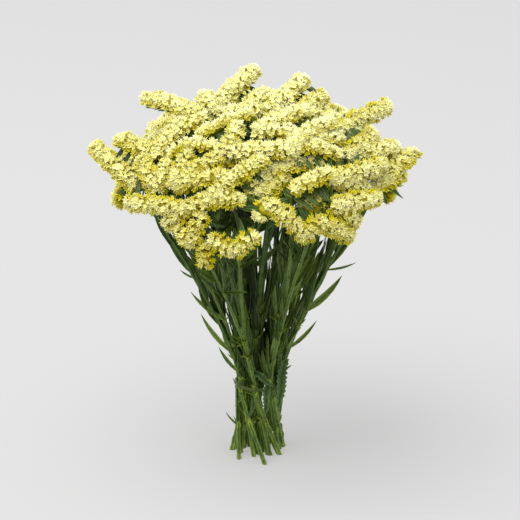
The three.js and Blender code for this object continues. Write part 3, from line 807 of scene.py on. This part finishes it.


# Green parts

# The third number of a section's corner is its pit, painted shade that darkens its grooves.
STEM_SECTION = (
    (1, 0.12, 0), (0.6, 0.3, 0.55), (0.36, 0.66, 0.45), (0.2, 1, 0.1), (-0.02, 0.74, 0.4), (-0.24, 0.98, 0.1),
    (-0.42, 0.64, 0.45), (-0.62, 0.28, 0.55), (-1, 0.12, 0), (-1, -0.12, 0), (-0.58, -0.3, 0.55),
    (-0.3, -0.7, 0.45), (0, -1, 0.1), (0.3, -0.7, 0.45), (0.58, -0.3, 0.55), (1, -0.12, 0),
)
BRANCH_SECTION = (
    (1, 0.5, 0), (0.5, 0.42, 0.7), (0.1, 0.75, 0.1), (-0.5, 0.42, 0.7), (-1, 0.5, 0), (-0.7, 0.1, 0.5),
    (-0.2, -0.85, 0.2), (0.2, -0.85, 0.2), (0.7, 0.1, 0.5),
)
LEAF_SECTION = (
    (1, 1.1, 0), (0.5, 0.35, 0.3), (0, -0.3, 0.55), (-0.5, 0.35, 0.3), (-1, 1.1, 0), (-0.5, -0.75, 0.5),
    (0, -1.4, 0.2), (0.5, -0.75, 0.5),
)
RACHIS_SECTION = (
    (1, 0.1, 0.1), (0.5, 0.12, 0.5), (-0.5, 0.12, 0.5), (-1, 0.1, 0.1), (-0.55, -0.35, 0.6), (-0.15, -1, 0.2),
    (0.15, -1, 0.2), (0.55, -0.35, 0.6),
)
SCALE_SECTION = ((1, 0.6, 0), (0, -0.2, 0.3), (-1, 0.6, 0), (0, -1, 0.3))
LEAF_OUTLINE = (
    (0, 0.34), (0.1, 0.56), (0.3, 0.84), (0.5, 0.86), (0.68, 0.72), (0.84, 0.44), (0.94, 0.2), (1, 0.04),
)
BRACT_OUTLINE = (1, 1.05, 1, 0.86, 0.68, 0.48, 0.28, 0.06)
SCALE_PITCH, SCALE_LENGTH, SCALE_WIDTH = 0.0058, 0.0115, 0.0046
RACHIS_SCALE_THICKS = (0.0009, 0.0009, 0.0007, 0.0003)
KNUCKLE = 0.003  # half length of the thickened place where a branch or bract leaves its stem
KNUCKLE_SCALE_WIDTH, KNUCKLE_SCALE_THICKS = 0.0042, (0.0014, 0.0012, 0.0008, 0.0003)
LOW_KNUCKLES = (0.055, 0.15, 0.27)
TRUNK_STEPS = 92
FOOT_SHARE, CUT_SHARE = 0.3, 0.03  # where a stem starts to widen, and where it is pale, above its cut end
INNER_LEAVES, CROWN_LEAVES = 15, 14
UNDER_LEAVES_AT = (0.05, 0.28, 0.52, 0.76, 1)
NEXT_TO = 0.024  # how near to another spike a leaf under a spike has to end
DOME_INSIDE = 0.11


def shares_along(first, last, count):
    return [lerp(first, last, i / (count - 1)) for i in range(count)]


def add_trunk(heap, stem, chance):
    knuckles = [share for share, _ in [*stem.branches, *stem.bracts]]
    knuckles += [chance.uniform(low, low + 0.05) for low in LOW_KNUCKLES]
    length = (stem.trunk.at(1) - stem.trunk.at(0)).length * 1.05
    close = [k + d * KNUCKLE / length for k in knuckles for d in (-1.4, -0.5, 0.4, 1.2)]
    shares = sorted(shares_along(0, 1, TRUNK_STEPS) + close)
    widths, thicks, tones = [], [], []
    tone, phase = chance.random(), chance.uniform(0, 6)
    for share in shares:
        knuckle = max(math.exp(-(((share - node) * length / KNUCKLE) ** 2)) for node in knuckles)
        low = max(1 - share / FOOT_SHARE, 0)
        wave = 1 + 0.22 * low + 0.05 * math.sin(phase + share * length / 0.009) + chance.uniform(-0.06, 0.06)
        # A stem is paler towards its foot, as painted light where the dome no longer shades it; its pale cut
        # end is its own colour.
        pale = 0.4 * tone + 0.12 * low + (0.4 if share < CUT_SHARE else 0)
        widths.append(lerp(STEM_WIDTH, TWIG_WIDTH, share) * lerp(wave, 0.8, knuckle))
        thicks.append(lerp(STEM_THICK, TWIG_THICK, share) * lerp(1 + 0.25 * low, 1.6, knuckle))
        tones.append(lerp(pale, 1, knuckle) + chance.uniform(-0.1, 0.12))
    twist = chance.uniform(-0.5, 0.5)

    def worn():
        return chance.uniform(0.7, 1.16)

    sweep(heap, stem.trunk, shares, stem.wide, STEM_SECTION, widths, thicks, tones, twist, worn)
    for share in knuckles:
        add_knuckle_scales(heap, stem.trunk, share, chance)


def leaning(curve, share, toward, aside, angle):
    """A direction that leaves the curve by angle, on the side that toward turned by aside gives."""
    along = curve.heading(share)
    away = rotated(along, math.radians(aside), toward)
    away = (away - along * away.dot(along)).normalized()
    return along * math.cos(math.radians(angle)) + away * math.sin(math.radians(angle)), away


def add_scale(heap, root, aim, away, long, arch, foot, width, thicks, tone):
    """A short pointed scale. foot is the share of its width that it starts with."""
    tip = root + aim * long
    line = bezier(root, root.lerp(tip, 0.5) + away * arch, tip)
    widths = [width * w for w in (foot, 1, 0.6, 0.08)]
    sweep(heap, line, (0, 0.4, 0.75, 1), aim.cross(away).normalized(), SCALE_SECTION, widths, thicks, tone)


def add_knuckle_scales(heap, curve, share, chance):
    """Three short pointed scales round a thickened place."""
    first = chance.uniform(0, 360)
    sideways = UP.cross(curve.heading(share)).normalized()
    for side in (0, 120, 240):
        aim, away = leaning(curve, share, sideways, first + side, chance.uniform(22, 58))
        root, long = curve.at(share) + away * 0.001, chance.uniform(0.008, 0.016)
        add_scale(heap, root, aim, away, long, -0.0006, 0.8, KNUCKLE_SCALE_WIDTH, KNUCKLE_SCALE_THICKS, 0.9)


def inward_at(place):
    return Vector((ACROSS - place.x, -place.y, 0)).normalized()


def add_leaf(heap, place, aim, away, long, width, arch, shade, chance, sunk=0):
    wide = aim.cross(away).normalized()
    leaf = Blade(place - aim * sunk, place + aim * long, away * (arch * long), FLAT, wide, width, LEAF_THICK)
    add_blade(heap, leaf, chance, shade)


def add_inner_leaves(heap, stem, chance):
    """Slim leaves that lie along the stem, inside the bunch."""
    # Leaves on the inner stems take more painted shade.
    turn, angle, shade = (105, 15, 0.2) if stem.tied > BRACT_RING else (180, 20, 0.45)
    for n in range(INNER_LEAVES):
        share = lerp(0.2, 0.84, (n + chance.uniform(0.1, 0.9)) / INNER_LEAVES)
        place = stem.trunk.at(share)
        aside, lean = chance.uniform(-turn, turn), chance.uniform(6, angle)
        aim, away = leaning(stem.trunk, share, inward_at(place), aside, lean)
        long, width = chance.uniform(0.05, 0.09), chance.uniform(0.009, 0.0145)
        add_leaf(heap, place, aim, away, long, width, 0.12, shade, chance, 0.002)


def add_crown(heap, curve, chance):
    """Short leaves round the last of a stem or branch, under its head."""
    length = (curve.at(1) - curve.at(0)).length
    for n in range(CROWN_LEAVES):
        share = 1 - lerp(0.012, 0.085, n / (CROWN_LEAVES - 1)) / length
        if share < 0.2:
            continue
        place = curve.at(share)
        turn = 95 if math.hypot(place.x, place.y) > DOME_INSIDE else 180
        aside, lean = chance.uniform(-turn, turn), chance.uniform(26, 76)
        aim, away = leaning(curve, share, inward_at(place), aside, lean)
        long, width = chance.uniform(0.026, 0.046), chance.uniform(0.0065, 0.0115)
        # These leaves take painted shade, as under a head.
        add_leaf(heap, place, aim, away, long, width, 0.1, 0.15, chance)


def spike_places(heads):
    """Places along every spike and the spike of each, to find a spike's neighbours by."""
    spikes = [spike for head in heads for spike in head.spikes]
    shares = (0.15, 0.4, 0.65, 0.9)
    places = np.array([tuple(spike.at(share)) for spike in spikes for share in shares])
    return places, [spike for spike in spikes for _ in shares]


def add_under_leaves(heap, spike, neighbours, chance):
    """Leaves that lie sideways under a spike and close the gaps to its neighbours."""
    places, owners = neighbours
    for share in UNDER_LEAVES_AT:
        above, along = spike.above(share), spike.heading(share)
        for hand in (-1, 1):
            ahead, down = chance.uniform(-0.2, 0.7), chance.uniform(0.2, 0.5)
            aim = (spike.side * hand + along * ahead - above * down).normalized()
            root, long = spike.at(share) - above * 0.001, chance.uniform(0.022, 0.036)
            width = chance.uniform(0.008, 0.012)
            far = np.linalg.norm(places - np.array(root + aim * long), axis=1)
            if min(f for f, owner in zip(far, owners) if owner is not spike) <= NEXT_TO:
                # These leaves take painted shade, as under a spike.
                add_leaf(heap, root, aim, above, long, width, 0.08, 0.25, chance)


def add_branch(heap, stem, branch, chance):
    shares = shares_along(0.01, 1, 22)
    tone = 0.6 * chance.random()
    widths = [lerp(BRANCH_WIDTH, TWIG_WIDTH, s) * (1 + 0.08 * math.sin(60 * s)) for s in shares]
    thicks = [lerp(BRANCH_THICK, TWIG_THICK, s) for s in shares]
    sweep(heap, branch, shares, stem.wide, BRANCH_SECTION, widths, thicks, tone)


def add_blade(heap, leaf, chance, shade=0):
    """A leaf with a raised rib. shade is painted shade that darkens the leaves inside the bunch."""
    shares = [share for share, _ in LEAF_OUTLINE]
    widths = [leaf.width * wide * chance.uniform(0.93, 1.07) for _, wide in LEAF_OUTLINE]
    thicks = [leaf.thick * lerp(1, 0.7, share) for share in shares]
    section = [(a, b, pit + shade) for a, b, pit in LEAF_SECTION]
    tone = (0.15 + 0.5 * chance.random()) * (1 - shade)
    sweep(heap, leaf.curve, shares, leaf.wide, section, widths, thicks, tone, chance.uniform(-0.7, 0.7))


def add_wavy_leaf(heap, leaf, chance):
    """A limp dark leaf with a wavy, toothed edge."""
    shares, phase = shares_along(0, 1, 22), chance.uniform(0, 6)
    face = (leaf.curve.at(1) - leaf.curve.at(0)).cross(leaf.wide).normalized()

    def wavy(share):
        lifted = leaf.curve.at(share) + face * (0.0014 * math.sin(11 * share + phase))
        return lifted + leaf.wide * (0.0012 * math.sin(7 * share + phase))

    teeth = [0.68 if k % 2 else 1 for k in range(len(shares))]
    widths = [
        leaf.width * math.sin(math.pi * lerp(0.12, 0.97, share)) ** 0.6 * tooth * chance.uniform(0.85, 1.1)
        for share, tooth in zip(shares, teeth)
    ]
    thicks = [leaf.thick * lerp(1, 0.6, share) for share in shares]
    section = [(a, b, pit + 0.12) for a, b, pit in LEAF_SECTION]
    sweep(heap, Curve(wavy), shares, leaf.wide, section, widths, thicks, 0, chance.uniform(-0.5, 0.5))


def add_bract_tip(heap, bract):
    shares = shares_along(0.02, 1, len(BRACT_OUTLINE))
    widths = [bract.width * wide for wide in BRACT_OUTLINE]
    thicks = [bract.thick * max(wide, 0.3) for wide in BRACT_OUTLINE]
    tones = [0.5 + 0.5 * share for share in shares]
    sweep(heap, bract.curve, shares, bract.wide, BRANCH_SECTION, widths, thicks, tones)


def add_rachis(heap, spike, chance):
    """The green keel under a spike, with a scale under each spikelet on both sides."""
    shares = (0, 0.08, 0.3, 0.55, 0.8, 0.95, 1)
    widths = [RACHIS_WIDTH * (1 - 0.5 * share) for share in shares]
    thicks = [2 * RACHIS_KEEL * (1 - 0.5 * share) for share in shares]
    tone = 0.5 * chance.random()
    sweep(heap, spike, shares, -spike.side, RACHIS_SECTION, widths, thicks, tone)
    for n in range(max(3, round(spike.length / SCALE_PITCH))):
        share = clamp((n + 0.6) * SCALE_PITCH / spike.length, 0, 0.98)
        above, along = spike.above(share), spike.heading(share)
        for hand in (-1, 1):
            out = (spike.side * (hand * 0.9) + above * 0.22 + along * chance.uniform(0.35, 0.7)).normalized()
            root = spike.at(share) + spike.side * (hand * 0.001) - above * 0.0006
            size = spike.size * chance.uniform(0.85, 1.15)
            long, arch, width = SCALE_LENGTH * size, -0.0012 * size, SCALE_WIDTH * size
            add_scale(heap, root, out, above, long, arch, 0.7, width, RACHIS_SCALE_THICKS, tone + 0.3)


# The tie: two turns of thin cord drawn tight round the stems

PLY, LAY, LAY_TURNS, CORD_STEPS = 0.0011, 0.00045, 32, 240


def string_round(stems, height):
    """Evenly spaced places of a cord's middle that is drawn tight round the stems at a height."""
    met = []
    for stem in stems:
        share = min(shares_along(0, 0.5, 400), key=lambda s: abs(stem.trunk.at(s).z - height))
        width, thick = lerp(STEM_WIDTH, TWIG_WIDTH, share), lerp(STEM_THICK, TWIG_THICK, share)
        met += [tuple(p.to_2d()) for p in corners(stem.trunk, share, WINGED, stem.wide, width, thick)]
    path = []
    for turn in range(0, 360, 3):
        way = (math.cos(math.radians(turn)), math.sin(math.radians(turn)))
        x, y = max(met, key=lambda p: p[0] * way[0] + p[1] * way[1])
        path.append((x + way[0] * TIE_CORD / 2, y + way[1] * TIE_CORD / 2))
    path = np.array([*path, path[0]])
    run = np.concatenate([[0], np.cumsum(np.hypot(*np.diff(path, axis=0).T))])
    even = np.linspace(0, run[-1], CORD_STEPS, endpoint=False)
    return np.stack([np.interp(even, run, path[:, 0]), np.interp(even, run, path[:, 1])], axis=1)


def add_tie(heap, stems):
    """Each turn is two plies laid round each other."""
    for turn in range(TIE_TURNS):
        height = TIE_HEIGHT + (turn - (TIE_TURNS - 1) / 2) * TIE_CORD
        path = string_round(stems, height)
        for ply in (0, math.pi):
            middles = []
            for i, (x, y) in enumerate(path):
                lay = 2 * math.pi * LAY_TURNS * i / CORD_STEPS + ply
                out = Vector((x - ACROSS, y, 0)).normalized() * (LAY * math.cos(lay))
                middles.append(Vector((x, y, height + LAY * math.sin(lay))) + out)
            add_ply(heap, middles)


def add_ply(heap, middles):
    section = [(math.cos(math.radians(a)), math.sin(math.radians(a))) for a in range(0, 360, 60)]
    places, steps = [], len(middles)
    for i, middle in enumerate(middles):
        along = (middles[(i + 1) % steps] - middles[i - 1]).normalized()
        side = along.cross(UP).normalized()
        face = side.cross(along)
        places += [middle + side * (a * PLY / 2) + face * (b * PLY / 2) for a, b in section]
    heap.add(places, ring_faces(len(section), steps, steps), [0.3] * len(places), [0.5] * len(places))


# Finishes


class Wire:
    """A socket's output. Python's operators on it add Math nodes."""

    def __init__(self, finish, socket):
        self.finish, self.socket = finish, socket

    def math(self, operation, first, second):
        return self.finish.node("ShaderNodeMath", {"operation": operation}, first, second)

    def __add__(self, other):
        return self.math("ADD", self, other)

    def __sub__(self, other):
        return self.math("SUBTRACT", self, other)

    def __rsub__(self, other):
        return self.math("SUBTRACT", other, self)

    def __mul__(self, other):
        return self.math("MULTIPLY", self, other)

    __radd__, __rmul__ = __add__, __mul__

    def held(self):
        """The value kept between 0 and 1."""
        return self.finish.node("ShaderNodeClamp", {}, self, 0, 1)


class Nodes:
    """The nodes of a material or a world, which lead to its shader."""

    def __init__(self, owner, shader):
        owner.use_nodes = True
        self.owner, self.tree = owner, owner.node_tree
        self.sockets = self.tree.nodes[shader].inputs

    def fix(self, socket, value):
        self.sockets[socket].default_value = value

    def node(self, kind, settings, *values, out=0, **named):
        """Adds a node: its settings first, and then the values or wires of its sockets."""
        made = self.tree.nodes.new(kind)
        for setting, value in settings.items():
            setattr(made, setting, value)
        for socket, value in [*enumerate(values), *named.items()]:
            self.set(made.inputs[socket], value)
        return Wire(self, made.outputs[out])

    def set(self, socket, value):
        if isinstance(value, Wire):
            self.tree.links.new(value.socket, socket)
        else:
            socket.default_value = value


class Finish(Nodes):
    """A material whose looks are worked out from the piece's own marks and places."""

    def __init__(self, name, roughness, specular):
        super().__init__(bpy.data.materials.new(name), "Principled BSDF")
        self.fix("Roughness", roughness)
        self.fix("Specular IOR Level", specular)

    def mark(self, name):
        return self.node("ShaderNodeAttribute", {"attribute_name": name}, out=2)

    def place(self):
        return self.node("ShaderNodeTexCoord", {}, out=3)

    def stretched(self, scale):
        return self.node("ShaderNodeMapping", {}, Vector=self.place(), Scale=scale)

    def noise(self, scale, detail, vector=None):
        return self.node("ShaderNodeTexNoise", {}, Vector=vector or self.place(), Scale=scale, Detail=detail)

    def blend(self, share, first, second):
        made = self.tree.nodes.new("ShaderNodeMix")
        made.data_type = "RGBA"
        for socket, value in ((made.inputs[0], share), (made.inputs[6], first), (made.inputs[7], second)):
            self.set(socket, value)
        return Wire(self, made.outputs[2])

    def colour(self, wire):
        self.set(self.sockets["Base Color"], wire)

    def bump(self, height, strength, distance):
        bumped = self.node("ShaderNodeBump", {}, Strength=strength, Distance=distance, Height=height)
        self.set(self.sockets["Normal"], bumped)


def srgb(red, green, blue):
    def linear(value):
        value /= 255
        return value / 12.92 if value <= 0.04045 else ((value + 0.055) / 1.055) ** 2.4

    return (linear(red), linear(green), linear(blue), 1)


def papery_finish():
    """Pale lemon rims over golden throats, whose gold is painted shade deep in each calyx. Tone takes a calyx
    from lemon to gold, partly at random and partly as painted shade.
    """
    finish = Finish("papery_yellow", 0.8, 0.1)
    pit, tone = finish.mark("pit"), finish.mark("tone")
    rim = finish.blend((tone * 1.3).held(), srgb(250, 250, 232), srgb(238, 231, 48))
    throat = finish.blend((tone * 1.9).held(), srgb(248, 246, 160), srgb(184, 170, 0))
    crinkle = finish.noise(900, 3)
    # The deeper a corner lies in its calyx, the more gold it is: painted shade.
    depth = (pit * 1.3 + (crinkle - 0.5) * 0.5).held()
    petal = finish.blend(depth, rim, throat)
    # Past the calyces' depth, the heart goes to dark olive: painted shade over the green of a spike's
    # underside.
    finish.colour(finish.blend(((pit - 1.2) * 2).held(), petal, srgb(64, 76, 10)))
    finish.bump(crinkle, 0.35, 0.0006)
    finish.fix("Subsurface Weight", 0.4)
    finish.fix("Subsurface Radius", (1, 0.97, 0.5))
    finish.fix("Subsurface Scale", 0.002)
    return finish.owner


def leafy_finish():
    """Green stems and leaves: pale ribs, dark grooves that are painted shade, yellower knuckles and a streaky
    skin.
    """
    finish = Finish("leafy_green", 0.5, 0.3)
    pit, tone = finish.mark("pit"), finish.mark("tone")
    streak = finish.noise(1, 4, finish.stretched((420, 420, 26)))
    patch = finish.noise(55, 2)
    rib = finish.blend(tone, srgb(92, 128, 54), srgb(158, 182, 66))
    groove = finish.blend(tone, srgb(14, 28, 2), srgb(56, 80, 10))
    # The deeper a corner lies in a groove, or the more shade its leaf is given, the darker it is: painted
    # shade.
    depth = (pit * 1.3 + (streak - 0.5) * 0.9).held()
    skin = finish.blend(depth, rib, groove)
    blotch = ((patch - 0.45) * 2).held() * 0.45 + ((finish.noise(230, 2) - 0.52) * 5).held() * 0.55
    finish.colour(finish.blend(blotch, skin, srgb(26, 48, 10)))
    finish.set(finish.sockets["Roughness"], 0.42 + streak * 0.22)
    finish.bump(streak, 0.3, 0.0005)
    return finish.owner


def cord_finish():
    """Dull green cord."""
    finish = Finish("green_cord", 0.8, 0.5)
    fuzz = finish.noise(1400, 3)
    finish.colour(finish.blend(fuzz, srgb(66, 84, 40), srgb(100, 112, 62)))
    finish.bump(fuzz, 0.4, 0.0003)
    return finish.owner


def sweep_finish():
    """A plain grey paint with a painted glow that lifts the floor and weakens its shadows."""
    finish = Finish("pale_paint", 0.9, 0.2)
    finish.fix("Base Color", srgb(130, 130, 130))
    # The glow is painted light: the sweep is no lamp.
    finish.fix("Emission Color", (1, 1, 1, 1))
    finish.fix("Emission Strength", 0.375)
    return finish.owner


# Camera, floor and lights

PHOTO_WIDTH = 520
PIXEL = 0.00136  # metres a pixel of the photograph, at the bunch
DISTANCE = 4.5
LOOK_AT = ORIGIN + Vector((0.0027, 0, 0.2798))
FLOOR, BACKDROP_AT, BACKDROP_HIGH, BACKDROP_CURVE = 16, 6.8, 7, 1.8
SKY_LOW, SKY_HIGH = 0.54, 1.62
PANEL_AT, PANEL_SIZE, PANEL_POWER = (-1.4, -0.7, 4.5), 4.5, 190


def put(name, data, place, target):
    """A camera or lamp at place that looks at target."""
    thing = bpy.data.objects.new(name, data)
    bpy.context.scene.collection.objects.link(thing)
    thing.location = place
    thing.rotation_euler = (target - thing.location).to_track_quat("-Z", "Y").to_euler()
    return thing


def set_camera():
    camera = put("camera", bpy.data.cameras.new("camera"), LOOK_AT - VIEW_IN * DISTANCE, LOOK_AT)
    camera.data.lens = camera.data.sensor_width * DISTANCE / (PHOTO_WIDTH * PIXEL)
    camera.data.clip_end = 50
    bpy.context.scene.camera = camera


def set_stage():
    """A pale floor that curves up into a backdrop, far enough off that a camera could go round the bunch
    inside it.
    """
    bpy.ops.object.select_all(action="DESELECT")
    bpy.ops.mesh.primitive_plane_add(size=FLOOR, location=(0, 0, 0))
    stage = bpy.context.object
    stage.name = "pale_sweep"
    bpy.ops.object.mode_set(mode="EDIT")
    pick(stage, lambda co: co.y > 0)
    bpy.ops.transform.translate(value=(0, BACKDROP_AT - FLOOR / 2, 0))
    bpy.ops.mesh.extrude_region_move(TRANSFORM_OT_translate={"value": (0, 0, BACKDROP_HIGH)})
    pick(stage, lambda co: co.y > 0 and co.z < BACKDROP_HIGH / 2)
    bpy.ops.mesh.bevel(offset=BACKDROP_CURVE, segments=24, affect="EDGES")
    bpy.ops.object.mode_set(mode="OBJECT")
    bpy.ops.object.shade_smooth()
    stage.data.materials.append(sweep_finish())


def set_lights():
    """A soft room that is brighter overhead, and a wide panel to the upper left."""
    room = Nodes(bpy.data.worlds.new("soft_room"), "Background")
    way = room.node("ShaderNodeTexCoord", {})
    high = room.node("ShaderNodeSeparateXYZ", {}, way, out=2).held()
    room.set(room.sockets["Strength"], high * (SKY_HIGH - SKY_LOW) + SKY_LOW)
    room.fix("Color", (1, 1, 1, 1))
    bpy.context.scene.world = room.owner
    panel = put("wide_panel", bpy.data.lights.new("wide_panel", "AREA"), PANEL_AT, Vector((0, 0, 0.25)))
    panel.data.shape, panel.data.size, panel.data.energy = "DISK", PANEL_SIZE, PANEL_POWER
    bpy.context.scene.view_settings.view_transform = "Standard"


# The bunch


def trim_cut_ends(piece):
    """Cuts the stems flush with the floor."""
    open_all(piece)
    bpy.ops.mesh.bisect(plane_co=(0, 0, 0.0001), plane_no=(0, 0, 1), use_fill=True, clear_inner=True)
    bpy.ops.object.mode_set(mode="OBJECT")
    bpy.ops.object.shade_smooth_by_angle(angle=math.radians(50))


def add_stem(heap, stem, neighbours, chance):
    """A stem with its branches, leaves and bracts and with the green under its spikes."""
    add_trunk(heap, stem, chance)
    add_inner_leaves(heap, stem, chance)
    add_crown(heap, stem.trunk, chance)
    for _, branch in stem.branches:
        add_branch(heap, stem, branch, chance)
        add_crown(heap, branch, chance)
    for _, bract in stem.bracts:
        add_bract_tip(heap, bract)
    for leaf in stem.leaves:
        add_blade(heap, leaf, chance)
    for leaf in stem.limp:
        add_wavy_leaf(heap, leaf, chance)
    for spike in [spike for head in stem.heads for spike in head.spikes]:
        add_rachis(heap, spike, chance)
        add_under_leaves(heap, spike, neighbours, chance)


def make_bunch():
    heads, pairs = grow_bunch()
    neighbours = spike_places(heads)
    calyx = template_of(model_calyx())
    papery, leafy, cord = papery_finish(), leafy_finish(), cord_finish()
    for k, head in enumerate(heads):
        node = f"head_{k + 1:02d}"
        heap, solid, chance = Heap(), Solid(node), drawing.Random(100 + k)
        for spike in head.spikes:
            add_heart(heap, spike)
            add_florets(heap, spike, solid, calyx, chance)
        dress(heap.mesh(f"papery_{node}"), node, papery)
    for k, pair in enumerate(pairs):
        heap, chance = Heap(), drawing.Random(500 + k)
        for stem in pair:
            add_stem(heap, stem, neighbours, chance)
        piece = heap.mesh(f"winged_{green_name(pairs, k)}")
        trim_cut_ends(piece)
        dress(piece, green_name(pairs, k), leafy)
    heap = Heap()
    add_tie(heap, [stem for pair in pairs for stem in pair])
    piece = heap.mesh("cord_tie")
    bpy.ops.object.shade_smooth()
    dress(piece, "tie", cord)


set_camera()
set_stage()
set_lights()
make_bunch()
